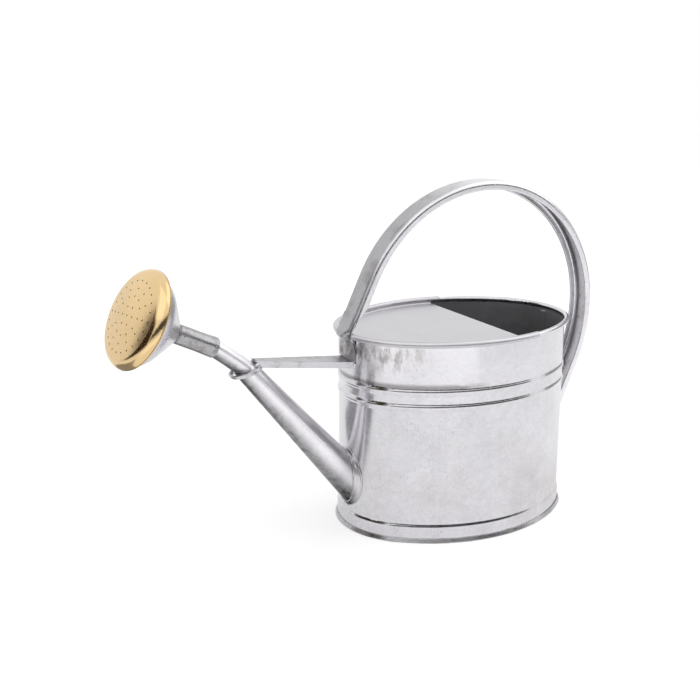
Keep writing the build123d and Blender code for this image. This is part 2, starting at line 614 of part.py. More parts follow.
def turned(edges, thickness):
    """Turned sheet, from the middle line of its section: x is the radius, z lies along the rose."""
    return revolve(sheet(edges, thickness), Axis.Z)


def make_rose_sleeve():
    middle = SLEEVE_BORE + CAN_SHEET / 2
    mouth = (SLEEVE_MOUTH_DIAMETER - CAN_SHEET) / 2
    edges = [
        line((mouth, CAN_SHEET / 2), (middle, SLEEVE_MOUTH_LENGTH)),
        line((middle, SLEEVE_MOUTH_LENGTH), (middle, SLEEVE_LENGTH - CAN_SHEET / 2)),
    ]
    slit = Pos(SLEEVE_MOUTH_DIAMETER / 2, 0) * Box(SLEEVE_MOUTH_DIAMETER, SLEEVE_SLIT, 2 * SLEEVE_GRIP)
    return rose_place() * (turned(edges, CAN_SHEET) - slit)


def make_rose_cup():
    """Neck that turns in the sleeve, bowl, and the flange that the face is rolled over."""
    neck = Vector(SLEEVE_BORE - TURN_GAP - CAN_SHEET / 2, CUP_BACK)
    edge = Vector((CUP_DIAMETER - CAN_SHEET) / 2, CUP_RIM)
    side_way = turn(90 - CUP_CONE_ANGLE)
    shoulder = neck + side_way * CUP_CONE_LENGTH
    edges = [
        line((neck.X, SLEEVE_LENGTH - NECK_LENGTH), neck),
        line(neck, shoulder),
        TangentArc(shoulder, edge, tangent=side_way).edge(),
        line(edge, (FACE_ROLL_CENTRE, CUP_RIM)),
    ]
    return rose_place() * turned(edges, CAN_SHEET)


def make_rose_face():
    """Dome, rounder shoulder tangent to it, and the edge rolled under the cup's flange."""
    crown = CUP_RIM + FACE_RISE
    edge = FACE_ROLL_CENTRE + FACE_ROLL_RADIUS
    shoulder = edge - FACE_SHOULDER_RADIUS
    above = FACE_RISE - FACE_SHOULDER_RADIUS
    dome = (edge**2 - 2 * edge * FACE_SHOULDER_RADIUS + FACE_RISE**2) / (2 * above)
    slope = degrees(atan2(shoulder, dome - FACE_RISE))
    edges = [
        arc((0, crown - dome), dome, 90, -slope),
        arc((shoulder, CUP_RIM), FACE_SHOULDER_RADIUS, 90 - slope, slope - 90),
        arc((FACE_ROLL_CENTRE, CUP_RIM), FACE_ROLL_RADIUS, 0, -FACE_ROLL),
    ]
    right_half = Plane.XZ * Pos(FACE_DIAMETER / 2, CUP_RIM) * Rectangle(FACE_DIAMETER, FAR)
    face = revolve(sheet(edges, FACE_SHEET) & right_half, Axis.Z)
    drill = Pos(0, 0, crown) * Cylinder(HOLE_DIAMETER / 2, 2 * FACE_RISE)
    face -= drill
    for radius, holes in zip(HOLE_RADII, HOLE_COUNTS):
        face -= PolarLocations(radius, holes, start_angle=HOLE_TURN) * drill
    return rose_place() * face


NODES = {
    "body_wall": make_body_wall,
    "rim_wire": make_rim_wire,
    "base_pan": make_base_pan,
    "top_cover": make_top_cover,
    "handle_hoop": make_handle_hoop,
    "handle_rivets": make_handle_rivets,
    "spout_tube": make_spout_tube,
    "spout_collar": make_spout_collar,
    "spout_elbow": make_spout_elbow,
    "brace_loop": make_brace_loop,
    "brace_strut": make_brace_strut,
    "rose_sleeve": make_rose_sleeve,
    "rose_cup": make_rose_cup,
    "rose_face": make_rose_face,
}

os.makedirs("parts", exist_ok=True)
for name, make in NODES.items():
    piece = make()
    export_step(piece, f"parts/{name}.step")
    print(name, len(piece.solids()), round(piece.volume))
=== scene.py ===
# %% [markdown]
# # An oval watering can of zinc-coated sheet
# The shape comes from the CAD model. Here it gets its metal, its seams and its solder, then
# a camera and a small studio. Lengths are in metres, and Z is up.

# %% The shared frame
from math import cos, radians, sin

import bpy
from mathutils import Matrix, Vector


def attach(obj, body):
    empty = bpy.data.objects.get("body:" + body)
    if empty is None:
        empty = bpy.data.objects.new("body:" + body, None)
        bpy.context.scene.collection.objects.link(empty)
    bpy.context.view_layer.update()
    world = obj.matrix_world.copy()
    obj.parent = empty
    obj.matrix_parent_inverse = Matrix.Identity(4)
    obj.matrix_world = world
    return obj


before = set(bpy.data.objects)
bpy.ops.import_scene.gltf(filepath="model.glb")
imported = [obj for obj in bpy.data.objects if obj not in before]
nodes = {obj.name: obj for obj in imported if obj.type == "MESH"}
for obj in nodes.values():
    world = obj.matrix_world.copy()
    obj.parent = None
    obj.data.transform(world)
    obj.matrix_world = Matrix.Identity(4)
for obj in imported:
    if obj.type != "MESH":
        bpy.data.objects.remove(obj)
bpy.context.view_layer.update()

print("CAD pieces:", ", ".join(sorted(nodes)))

# %% [markdown]
# ## Camera
# The photograph looks down on the can from its front left. A longish lens keeps the sides
# of the can nearly parallel, so the camera stands about a metre away.

# %% Camera
AZIMUTH = radians(-28.17)
ELEVATION = radians(15.392)
CAMERA_DISTANCE = 0.9537
LOOK_AT = Vector((-0.10732, 0, 0.16555))

flat = cos(ELEVATION)
towards_camera = Vector((sin(AZIMUTH) * flat, -cos(AZIMUTH) * flat, sin(ELEVATION)))
bpy.ops.object.camera_add(location=LOOK_AT + towards_camera * CAMERA_DISTANCE)
camera = bpy.context.object
camera.rotation_euler = towards_camera.to_track_quat("Z", "Y").to_euler()
camera.data.sensor_width = 36
camera.data.lens = 56.06
bpy.context.scene.camera = camera
print("camera at", [round(v, 3) for v in camera.location])

# %% [markdown]
# ## Sums with shader sockets
# Procedural metal is mostly arithmetic on noise. Wrapping a socket in a small class lets a
# material read like a formula: every operator adds the matching Math node.


# %% A socket that can be added and multiplied
def add_node(tree, kind, settings, inputs):
    """Add a node: its settings first, then its inputs by name or number."""
    made = tree.nodes.new(kind)
    for name, setting in settings.items():
        setattr(made, name, setting)
    for name, value in inputs.items():
        if isinstance(value, Value):
            tree.links.new(value.socket, made.inputs[name])
        else:
            made.inputs[name].default_value = value
    return made


class Value:
    def __init__(self, tree, socket):
        self.tree = tree
        self.socket = socket

    def node(self, kind, settings, inputs, output=0):
        """One output of a new node in the same material."""
        return Value(self.tree, add_node(self.tree, kind, settings, inputs).outputs[output])

    def maths(self, operation, *values):
        return self.node("ShaderNodeMath", {"operation": operation}, dict(enumerate(values)))

    def __add__(self, other):
        return self.maths("ADD", self, other)

    def __sub__(self, other):
        return self.maths("SUBTRACT", self, other)

    def __rsub__(self, other):
        return self.maths("SUBTRACT", other, self)

    def __mul__(self, other):
        return self.maths("MULTIPLY", self, other)

    __radd__ = __add__
    __rmul__ = __mul__

    def step(self, low, high):
        """0 below low, 1 above high, and a smooth run between."""
        settings = {"interpolation_type": "SMOOTHSTEP"}
        inputs = {"Value": self, "From Min": low, "From Max": high, "To Min": 0.0, "To Max": 1.0}
        return self.node("ShaderNodeMapRange", settings, inputs)

    def blend(self, start, end):
        """Colour that goes from start to end as this value goes from 0 to 1."""
        inputs = {"Factor": self, 6: start, 7: end}
        return self.node("ShaderNodeMix", {"data_type": "RGBA"}, inputs, 2)

    def split(self):
        """The three parts of a vector or a colour."""
        made = add_node(self.tree, "ShaderNodeSeparateXYZ", {}, {0: self})
        return [Value(self.tree, output) for output in made.outputs]


print("shader sums ready")

# %% [markdown]
# ## The start of every metal
# Each metal needs the same handful of measurements: where a point is, which way it faces,
# and noise of a few sizes. Object coordinates are metres here, so a scale is in cycles a metre.


# %% Metal start
class Metal:
    def __init__(self, name):
        self.material = bpy.data.materials.new(name)
        self.material.use_nodes = True
        tree = self.material.node_tree
        self.shader = tree.nodes["Principled BSDF"]
        self.shader.inputs["Metallic"].default_value = 1.0
        coordinates = add_node(tree, "ShaderNodeTexCoord", {}, {})
        self.place = Value(tree, coordinates.outputs["Object"])
        self.x, self.y, self.z = self.place.split()
        self.face_x, self.face_y, self.face_z = Value(tree, coordinates.outputs["Normal"]).split()

    def noise(self, scale, detail=3.0, rough=0.55, place=None):
        inputs = {"Vector": place or self.place, "Scale": scale, "Detail": detail, "Roughness": rough}
        return self.place.node("ShaderNodeTexNoise", {"noise_dimensions": "3D"}, inputs)

    def streaks(self, across, along, up, detail=4.0, rough=0.6):
        """Noise with a scale of its own each way, which draws it out into streaks."""
        inputs = {0: self.place, 1: (across, along, up)}
        place = self.place.node("ShaderNodeVectorMath", {"operation": "MULTIPLY"}, inputs)
        return self.noise(1.0, detail, rough, place)

    def cells(self, scale):
        """One random level for each grain of the coating."""
        inputs = {"Vector": self.place, "Scale": scale}
        colour = self.place.node("ShaderNodeTexVoronoi", {"feature": "F1"}, inputs, "Color")
        return colour.split()[0]

    def finish(self, colour, roughness, height, depth=0.0001, strength=0.3):
        """Wire up the colour, the roughness and a bump, and give the material."""
        sizes = {"Height": height, "Distance": depth, "Strength": strength}
        bump = self.place.node("ShaderNodeBump", {}, sizes)
        for name, value in (("Base Color", colour), ("Roughness", roughness), ("Normal", bump)):
            self.material.node_tree.links.new(value.socket, self.shader.inputs[name])
        return self.material


print("metal start ready")

# %% [markdown]
# ## Zinc
# Hot-dipped sheet is covered in small crystals, each a slightly different grey. On top come
# soft clouds from the dipping, hair-fine rubbing marks, and dark specks where grit sat.


# %% Zinc
def zinc(metal, tone, cloud=0.10, grain=0.06, specks=0.0):
    """Grey of zinc, with its crystals, clouds, rubbing marks and specks."""
    clouds = metal.noise(28, 4) - 0.5
    fine = metal.noise(420, 3) - 0.5
    crystals = metal.cells(520) - 0.5
    rubbed = metal.streaks(60, 60, 900) - 0.5
    level = 1 + cloud * 2 * clouds + grain * (crystals + fine) + 0.06 * rubbed
    if specks:
        grit = metal.noise(900, 2, 0.5).step(0.66, 0.74) * metal.noise(35, 2).step(0.45, 0.65)
        level = level - specks * grit
    return level * tone, clouds, crystals


def tinted(metal, level, tint):
    """Colour of a metal whose level changes over the piece."""
    parts = {number: level * share for number, share in enumerate(tint)}
    return metal.place.node("ShaderNodeCombineColor", {"mode": "RGB"}, parts)


def grey(metal, level, warm=0.0):
    """Grey at a level: zinc leans a little to blue, dirt to brown."""
    return tinted(metal, level, (1.0, 0.985 - 0.08 * warm, 1.025 - 0.22 * warm))


def dress(material, *names):
    for name in names:
        nodes[name].data.materials.clear()
        nodes[name].data.materials.append(material)
    print(material.name, "on", ", ".join(names))


# %% [markdown]
# ## The wall
# The outside of the wall was polished by the rolls and mirrors the floor. Inside it is dull
# and stained dark by water, so its grey is chosen by which way the sheet faces. Fine
# scratches lie near the spout, and a little grime sits low down.

# %% Wall
RIM_HEIGHT = 0.180  # centre of the rolled rim

wall = Metal("wall_zinc")
tone, clouds, crystals = zinc(wall, 0.72, cloud=0.12, grain=0.08, specks=0.35)
outward = wall.face_x * wall.x * 0.55 + wall.face_y * wall.y
below_rim = 1 - wall.z.step(RIM_HEIGHT - 0.0035, RIM_HEIGHT - 0.0015)
inside = (1 - outward.step(-0.012, 0.0)) * below_rim
front = 1 - wall.x.step(-0.06, 0.04)
lower = 1 - wall.z.step(0.03, 0.115)
grime = wall.noise(16, 5, 0.62).step(0.42, 0.72) * lower
scratched = wall.streaks(800, 800, 320, 3).step(0.60, 0.68) * front
drips = wall.streaks(75, 75, 5) - 0.5
spangle = wall.cells(190) - 0.5
tone = tone * (1 - 0.12 * grime - 0.22 * scratched * wall.noise(24, 3).step(0.4, 0.62))
tone = tone * (1 + 0.12 * drips + 0.05 * spangle)
print("wall zinc mixed")

# %% [markdown]
# Below the rim, streaks are painted darker and browner: partly brown marks where water was
# spilt, partly painted shade and dark reflections. Along the top of the upper bead a painted
# dark reflection lies. Both are noise let through only in a band of heights, near the spout.

# %% Marks on the wall
UPPER_BEAD = 0.1375  # centre of the upper bead

under_rim = wall.z.step(RIM_HEIGHT - 0.034, RIM_HEIGHT - 0.012)
under_rim = under_rim * (1 - wall.z.step(RIM_HEIGHT - 0.005, RIM_HEIGHT - 0.002))
# painted shade and dark reflections under the rim, mixed with brown water marks
stain_and_shade = wall.streaks(170, 170, 75, 5, 0.7).step(0.38, 0.72) * under_rim
stain_and_shade = stain_and_shade * (1 - wall.x.step(-0.092, -0.055))
# painted dark reflection along the top of the upper bead
on_bead = wall.z.step(UPPER_BEAD + 0.0025, UPPER_BEAD + 0.0040)
on_bead = on_bead * (1 - wall.z.step(UPPER_BEAD + 0.0050, UPPER_BEAD + 0.0090))
bead_dark_reflection = on_bead * wall.streaks(40, 40, 200, 3).step(0.3, 0.5) * (1 - wall.x.step(-0.04, -0.01))
tone = tone * (1 - 0.6 * stain_and_shade) * (1 - 0.55 * bead_dark_reflection)
tone = tone * (1 - inside) + inside * (0.34 + 0.3 * wall.noise(9, 4))
roughness = 0.17 + 0.05 * crystals + 0.10 * grime + 0.06 * clouds + 0.04 * spangle + 0.32 * inside
height = wall.noise(300, 3) * 0.5 + wall.noise(60, 2) + 0.25 * spangle
colour = grey(wall, tone, 0.2 * grime + 0.35 * stain_and_shade + 0.2 * bead_dark_reflection)
dress(wall.finish(colour, roughness, height, depth=0.00008, strength=0.25), "body_wall")

# %% [markdown]
# ## Foot, rim wire and cover
# The base is scuffed where it stands. The wire in the rim is plain drawn steel that hardly
# shows. The cover is satin, with faint lines from the rolls across it.

# %% Foot, rim wire and cover
base = Metal("base_zinc")
tone, clouds, crystals = zinc(base, 0.55, cloud=0.16, grain=0.06, specks=0.3)
scuffed = base.noise(90, 4, 0.6).step(0.45, 0.75)
colour = grey(base, tone * (1 - 0.3 * scuffed), 0.3 * scuffed)
dress(base.finish(colour, 0.28 + 0.2 * scuffed + 0.05 * crystals, base.noise(250)), "base_pan")

wire = Metal("rim_wire_steel")
tone, clouds, crystals = zinc(wire, 0.45, cloud=0.2)
dress(wire.finish(grey(wire, tone, 0.3), 0.3 + 0.2 * clouds, wire.noise(300)), "rim_wire")

cover = Metal("cover_zinc")
tone, clouds, crystals = zinc(cover, 0.62, cloud=0.06, grain=0.05, specks=0.15)
rolled = cover.streaks(500, 8, 60, 3) - 0.5
colour = grey(cover, tone * (1 + 0.10 * rolled))
roughness = 0.36 + 0.05 * crystals + 0.10 * clouds
dress(cover.finish(colour, roughness, cover.noise(200), depth=0.00006, strength=0.25), "top_cover")

# %% [markdown]
# ## Handle
# The flat of the handle was dulled by hands, and its folded edges stayed smoother. On the
# front leg and on the inner face of the back leg the flat is painted darker, as painted shade.
# Old water left brown stains, and a few dark spots inside the back leg.

# %% Handle and rivets
handle = Metal("handle_zinc")
tone, clouds, crystals = zinc(handle, 0.84, cloud=0.12, grain=0.07, specks=0.2)
web = 1 - (handle.face_y * handle.face_y).step(0.15, 0.85)
front = 1 - handle.x.step(-0.055, 0.05)
inside_back = handle.x.step(0.07, 0.11) * (1 - handle.face_x.step(-0.5, 0.0))
stain = handle.noise(45, 5, 0.62).step(0.46, 0.70)
spots = handle.noise(120, 3, 0.5).step(0.60, 0.68) * inside_back
# painted shade: the web darker on the front leg and inside the back leg; the stains and spots are real
tone = tone * (1 - web * (0.12 * stain + 0.48 * front + 0.25 * inside_back) - 0.2 * spots)
roughness = 0.24 + 0.12 * web + 0.08 * stain
height = handle.noise(160, 3) + 0.5 * handle.noise(40, 2)
colour = grey(handle, tone, 0.25 * stain * web)
dress(handle.finish(colour, roughness, height, depth=0.00012), "handle_hoop")

rivet = Metal("rivet_steel")
tone, clouds, crystals = zinc(rivet, 0.58, cloud=0.2, grain=0.1)
dress(rivet.finish(grey(rivet, tone, 0.2), 0.3 + 0.15 * clouds, rivet.noise(500)), "handle_rivets")

# %% [markdown]
# ## Spout and brace
# These were soldered by hand. Flux and handling left brown-grey smudges, mostly on the
# spout's under side, which is where the noise is let through. On top of that, the spout's under
# side is painted darker and its top lighter, as painted shade and painted light, and the spout
# is painted darker next to the wall. The brace's upward faces are painted darker, as painted shade.

# %% Spout and brace
spout = Metal("spout_zinc")
tone, clouds, crystals = zinc(spout, 0.66, cloud=0.12, grain=0.06, specks=0.2)
under = (0 - spout.face_z).step(-0.02, 0.6)
smudge = spout.noise(130, 5, 0.7).step(0.42, 0.68) * (0.2 + 0.8 * under)
at_wall = spout.x.step(-0.140, -0.112)
# painted shade on the under side and painted light on the top; darker next to the wall; the smudges are
# real
tone = tone * (1.46 - 0.99 * under - 0.24 * smudge - 0.36 * at_wall)
colour = grey(spout, tone, 0.25 * smudge)
roughness = 0.32 + 0.15 * smudge + 0.05 * crystals
spout.finish(colour, roughness, spout.noise(220, 3))
dress(spout.material, "spout_tube", "spout_collar", "spout_elbow")

brace = Metal("brace_zinc")
tone, clouds, crystals = zinc(brace, 0.66, cloud=0.1, grain=0.06, specks=0.15)
smudge = brace.noise(80, 5, 0.65).step(0.5, 0.75)
# painted shade: faces that look up are darker; the smudges are real
tone = tone * (1.05 - 0.3 * smudge - 0.36 * brace.face_z.step(0.5, 0.95))
brace.finish(grey(brace, tone, 0.3 * smudge), 0.34 + 0.15 * smudge, brace.noise(220, 3))
dress(brace.material, "brace_loop", "brace_strut")

# %% [markdown]
# ## Rose
# The cup is clean, even zinc. The sleeve is pulled off and pushed on again each time the rose
# is cleaned, so it is darker and smudged.

# %% Cup and sleeve
cup = Metal("rose_zinc")
tone, clouds, crystals = zinc(cup, 0.70, cloud=0.04, grain=0.04, specks=0.06)
roughness = 0.3 + 0.06 * crystals + 0.1 * clouds
dress(cup.finish(grey(cup, tone), roughness, cup.noise(240, 3)), "rose_cup")

sleeve = Metal("sleeve_zinc")
tone, clouds, crystals = zinc(sleeve, 0.46, cloud=0.2, grain=0.08, specks=0.2)
smudge = sleeve.noise(110, 5, 0.65).step(0.42, 0.7)
colour = grey(sleeve, tone * (1 - 0.35 * smudge), 0.4 * smudge)
dress(sleeve.finish(colour, 0.26 + 0.15 * smudge, sleeve.noise(240, 3)), "rose_sleeve")

# %% [markdown]
# The face is polished brass, smooth enough to mirror the room in one soft crescent. Its
# rolled edge is painted a darker brass than the plate, as painted shade along the edge.

# %% Brass
BRASS = (0.82, 0.60, 0.32)
# painted shade: the brass of the rolled edge, darker than the plate
SHADED_EDGE_BRASS = (0.56, 0.37, 0.15)

brass = Metal("face_brass")
clouds = brass.noise(60, 4) - 0.5
fine = brass.noise(700, 3) - 0.5
colour = tinted(brass, 1 + 0.12 * clouds + 0.10 * fine, BRASS)
roughness = 0.19 + 0.08 * clouds + 0.06 * fine
dress(brass.finish(colour, roughness, brass.noise(600, 3), depth=0.00005), "rose_face")

edge_brass = Metal("edge_brass")
# patches of the painted shade on the edge, rougher where darker
edge_shade_patches = edge_brass.noise(90, 4).step(0.3, 0.7)
colour = tinted(edge_brass, 1 - 0.25 * edge_shade_patches, SHADED_EDGE_BRASS)
edge_brass.finish(colour, 0.26 + 0.12 * edge_shade_patches, edge_brass.noise(600, 3), depth=0.00005)
print(edge_brass.material.name, "kept for the rolled edge")

# %% [markdown]
# ## At the bench
# The pieces below are small bits of sheet and solder. Each starts as a flat grid, a ring or a
# ball, is shaped there, and is then laid or pressed onto the CAD piece that carries it.


# %% Bench helpers
def grid(name, size, counts):
    """Flat strip of sheet, lying at the origin."""
    bpy.ops.object.select_all(action="DESELECT")
    bpy.ops.mesh.primitive_grid_add(x_subdivisions=counts[0], y_subdivisions=counts[1], size=1)
    piece = bpy.context.object
    piece.name = name
    bpy.ops.object.mode_set(mode="EDIT")
    bpy.ops.mesh.select_all(action="SELECT")
    bpy.ops.transform.resize(value=(size[0], size[1], 1))
    bpy.ops.object.mode_set(mode="OBJECT")
    return piece


def lay(piece, origin, along, outward):
    """Turn a flat piece so that its Y runs along a line and its Z looks outward."""
    outward = (outward - along * outward.dot(along)).normalized()
    side = along.cross(outward)
    turn = Matrix((side, along, outward)).transposed().to_4x4()
    piece.matrix_world = Matrix.Translation(origin) @ turn
    bpy.context.view_layer.update()


def press(piece, node, lift, straight=False):
    """Press a sheet onto a CAD piece, straight or to the nearest place, and leave it this far off."""
    wrap = piece.modifiers.new("press", "SHRINKWRAP")
    wrap.target = nodes[node]
    wrap.wrap_mode = "ABOVE_SURFACE"
    wrap.offset = lift
    if straight:
        wrap.wrap_method = "PROJECT"
        wrap.use_project_z = True
        wrap.use_positive_direction = False
        wrap.use_negative_direction = True
    else:
        wrap.wrap_method = "NEAREST_SURFACEPOINT"
    bpy.ops.object.modifier_apply(modifier=wrap.name)


def thicken(piece, thickness, bevel=0.0):
    """Give a sheet its thickness outward, and soften its edges."""
    solid = piece.modifiers.new("thickness", "SOLIDIFY")
    solid.thickness = thickness
    solid.offset = 1.0
    bpy.ops.object.modifier_apply(modifier=solid.name)
    if bevel:
        soft = piece.modifiers.new("soft", "BEVEL")
        soft.width = bevel
        soft.segments = 2
        soft.angle_limit = radians(50)
        bpy.ops.object.modifier_apply(modifier=soft.name)


def hand_over(piece, material, body):
    """Settle a finished piece in the frame: its place goes into the mesh, then it rides a body."""
    bpy.ops.object.select_all(action="DESELECT")
    piece.select_set(True)
    bpy.context.view_layer.objects.active = piece
    bpy.ops.object.transform_apply(location=True, rotation=True, scale=True)
    bpy.ops.object.mode_set(mode="EDIT")
    bpy.ops.mesh.select_all(action="SELECT")
    bpy.ops.mesh.normals_make_consistent(inside=False)
    bpy.ops.object.mode_set(mode="OBJECT")
    bpy.ops.object.shade_smooth_by_angle(angle=radians(40))
    piece.data.materials.clear()
    piece.data.materials.append(material)
    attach(piece, body)
    print(piece.name, len(piece.data.polygons), "faces on", body)


# %% [markdown]
# ## Seams
# The spout is a cone rolled from flat sheet, so a lapped edge runs along it. A narrow strip
# laid beside the spout and pressed onto it follows the cone by itself.

# %% Spout seam
SPOUT_RISE = radians(49.7)
SPOUT_FOOT = Vector((-0.11025, 0, 0.0485))
SPOUT_WAY = Vector((-cos(SPOUT_RISE), 0, sin(SPOUT_RISE)))
SPOUT_OVER = Vector((sin(SPOUT_RISE), 0, cos(SPOUT_RISE)))  # square to the spout, up and back

seam_side = (SPOUT_OVER * 0.264 + Vector((0, -1, 0)) * 0.964).normalized()
spout_seam = grid("spout_seam", (0.0022, 0.126), (3, 60))
lay(spout_seam, SPOUT_FOOT + SPOUT_WAY * 0.081 + seam_side * 0.0135, SPOUT_WAY, seam_side)
press(spout_seam, "spout_tube", 0.00004)
thicken(spout_seam, 0.00028, 0.0001)
hand_over(spout_seam, spout.material, "can")

# %% [markdown]
# The sleeve of the rose is rolled too. Its lap is wider, and the sheet's end is curled where
# the lap starts: a small ring, drawn out into an oval.

# %% Sleeve seam and curl
TIP_WAY = Vector((-0.883399, -0.130449, 0.450098))
SLEEVE_MOUTH = Vector((-0.234746, -0.002298, 0.184878))

sleeve_side = Vector((0.1336, -0.9907, -0.0248))
sleeve_seam = grid("sleeve_seam", (0.0026, 0.0335), (6, 30))
lay(sleeve_seam, SLEEVE_MOUTH + TIP_WAY * 0.0172 + sleeve_side * 0.010, TIP_WAY, sleeve_side)
press(sleeve_seam, "rose_sleeve", 0.00005)
thicken(sleeve_seam, 0.0004, 0.00012)
hand_over(sleeve_seam, sleeve.material, "rose_sleeve")


def ring(name, radius, thickness, counts, stretch):
    """Ring of wire at the origin, stretched out of round."""
    bpy.ops.object.select_all(action="DESELECT")
    bpy.ops.mesh.primitive_torus_add(
        major_radius=radius, minor_radius=thickness / 2, major_segments=counts[0], minor_segments=counts[1]
    )
    piece = bpy.context.object
    piece.name = name
    bpy.ops.object.mode_set(mode="EDIT")
    bpy.ops.mesh.select_all(action="SELECT")
    bpy.ops.transform.resize(value=stretch, center_override=(0, 0, 0))
    bpy.ops.object.mode_set(mode="OBJECT")
    return piece


sleeve_curl = ring("sleeve_curl", 0.0009, 0.00068, (28, 12), (0.85, 1.15, 1.0))
curl_side = (sleeve_side + Vector((0, 0, 0.16))).normalized()
lay(sleeve_curl, SLEEVE_MOUTH + TIP_WAY * 0.0022 + curl_side * 0.0094, TIP_WAY, curl_side)
hand_over(sleeve_curl, sleeve.material, "rose_sleeve")

# %% [markdown]
# ## Solder
# Every joint was sweated with soft solder, brighter and smoother than the zinc. Round the
# spout's collar it stands as a thin uneven bead: a circle with its corners shaken a little,
# which becomes a curve with a round section.

# %% Solder metal
solder = Metal("soft_solder")
tone, clouds, crystals = zinc(solder, 0.62, cloud=0.2, grain=0.05)
flux = solder.noise(160, 4, 0.6).step(0.5, 0.72)
colour = grey(solder, tone * (1 - 0.4 * flux), 0.5 * flux)
solder.finish(colour, 0.22 + 0.2 * flux, solder.noise(350, 3), depth=0.0002)
print(solder.material.name, "kept for the beads and lumps")


# %% Beads round the collar
def bead(name, half_width, half_height, place, thickness, seed, node=None):
    """Uneven oval bead of solder in an upright plane, laid on a CAD piece where one is named."""
    bpy.ops.object.select_all(action="DESELECT")
    bpy.ops.mesh.primitive_circle_add(vertices=120, radius=1, fill_type="NOTHING")
    bpy.context.object.name = name
    bpy.ops.object.mode_set(mode="EDIT")
    bpy.ops.mesh.select_all(action="SELECT")
    bpy.ops.transform.resize(value=(half_width, half_height, 1), center_override=(0, 0, 0))
    bpy.ops.transform.vertex_random(offset=0.0003, uniform=0.4, normal=0, seed=seed)
    bpy.ops.mesh.vertices_smooth(factor=0.5, repeat=2)
    bpy.ops.object.mode_set(mode="OBJECT")
    lay(bpy.context.object, place, Vector((0, 0, 1)), Vector((-1, 0, 0)))
    if node:
        press(bpy.context.object, node, 0.0003, straight=True)
    bpy.ops.object.convert(target="CURVE")
    bpy.context.object.data.bevel_depth = thickness / 2
    bpy.context.object.data.bevel_resolution = 3
    bpy.ops.object.convert(target="MESH")
    hand_over(bpy.context.object, solder.material, "can")


bead("collar_bead", 0.0214, 0.0271, Vector((-0.135, 0, 0.04825)), 0.0010, 4, "body_wall")
bead("neck_bead", 0.0165, 0.0252, Vector((-0.1124, 0, 0.0498)), 0.0009, 9)

# %% [markdown]
# At both ends of the strut the solder set as small lumps. Each is a ball, knocked out of true
# with a seed of its own, smoothed, and squashed to size.


# %% Lumps on the strut
def lump(name, place, size, seed):
    """Drop of solder: a ball, squashed and knocked out of true."""
    bpy.ops.object.select_all(action="DESELECT")
    bpy.ops.mesh.primitive_ico_sphere_add(subdivisions=4, radius=1)
    piece = bpy.context.object
    piece.name = name
    bpy.ops.object.mode_set(mode="EDIT")
    bpy.ops.mesh.select_all(action="SELECT")
    bpy.ops.transform.vertex_random(offset=0.16, uniform=1.0, normal=1.0, seed=seed)
    bpy.ops.mesh.vertices_smooth(factor=0.5, repeat=6)
    bpy.ops.transform.resize(value=size, center_override=(0, 0, 0))
    bpy.ops.object.mode_set(mode="OBJECT")
    piece.location = place
    hand_over(piece, solder.material, "can")


LOOP_LUMP = (0.0026, 0.0016, 0.0028)
WALL_LUMP = (0.0016, 0.0008, 0.0034)
lump("loop_solder_near", Vector((-0.1978, -0.0062, 0.1646)), LOOP_LUMP, 3)
lump("loop_solder_far", Vector((-0.1978, 0.0062, 0.1646)), LOOP_LUMP, 8)
lump("wall_solder_near", Vector((-0.1093, -0.0127, 0.1552)), WALL_LUMP, 5)
lump("wall_solder_far", Vector((-0.1093, 0.0127, 0.1552)), WALL_LUMP, 11)

# %% [markdown]
# ## The hammered foot
# The handle's front end was flattened cold, drawn over the rim and dressed down onto the
# wall. A thin sheet is pressed straight onto the CAD foot. It falls through the rivet holes,
# so that part is smoothed flat again.


# %% Foot skin
def pick(piece, wanted):
    """Go into edit mode with just those corners selected that a test picks out."""
    bpy.ops.object.mode_set(mode="EDIT")
    bpy.ops.mesh.select_all(action="DESELECT")
    bpy.ops.object.mode_set(mode="OBJECT")
    for vertex in piece.data.vertices:
        vertex.select = wanted(vertex)
    bpy.ops.object.mode_set(mode="EDIT")


def smooth(piece, wanted, times):
    pick(piece, wanted)
    bpy.ops.mesh.vertices_smooth(factor=0.5, repeat=times)
    bpy.ops.object.mode_set(mode="OBJECT")


FOOT_MIDDLE = 0.1790  # height of the sheet's middle
PRESS_START = -0.150  # the sheet starts here in X, in front of the foot

foot_skin = grid("front_foot_skin", (0.0222, 0.038), (36, 60))
pick(foot_skin, lambda vertex: vertex.co.y < -0.0135)
bpy.ops.transform.resize(
    value=(1.3, 1, 1),
    use_proportional_edit=True,
    proportional_edit_falloff="SMOOTH",
    proportional_size=0.012,
)
bpy.ops.object.mode_set(mode="OBJECT")
lay(foot_skin, Vector((PRESS_START, 0, FOOT_MIDDLE)), Vector((0, 0, 1)), Vector((-1, 0, 0)))
press(foot_skin, "handle_hoop", 0.0003, straight=True)
smooth(foot_skin, lambda vertex: vertex.co.z < -0.06, 150)  # what fell through the rivet holes
smooth(foot_skin, lambda vertex: abs(vertex.co.y) < 0.016 and abs(vertex.co.x) < 0.0105, 10)
depths = [PRESS_START - vertex.co.z for vertex in foot_skin.data.vertices]
print("foot skin lies between", round(min(depths), 4), "and", round(max(depths), 4), "in x")

# %% [markdown]
# The hammer left a soft bulge over the rim, slanting creases and a few dents. Each blow moves
# one corner of the sheet, and proportional editing carries its neighbours along.

# %% Hammer marks
BLOW_WAY = Vector((-0.97, 0, 0.24))


def strike(piece, side, height, amount, reach):
    """Raise the sheet, or dent it, at a place given by its distance to the side and its height."""
    mark = Vector((-side, height - FOOT_MIDDLE))
    nearest = min(piece.data.vertices, key=lambda vertex: (vertex.co.xy - mark).length).index
    pick(piece, lambda vertex: vertex.index == nearest)
    bpy.ops.transform.translate(
        value=BLOW_WAY * amount,
        use_proportional_edit=True,
        proportional_edit_falloff="SMOOTH",
        proportional_size=reach,
    )
    bpy.ops.object.mode_set(mode="OBJECT")


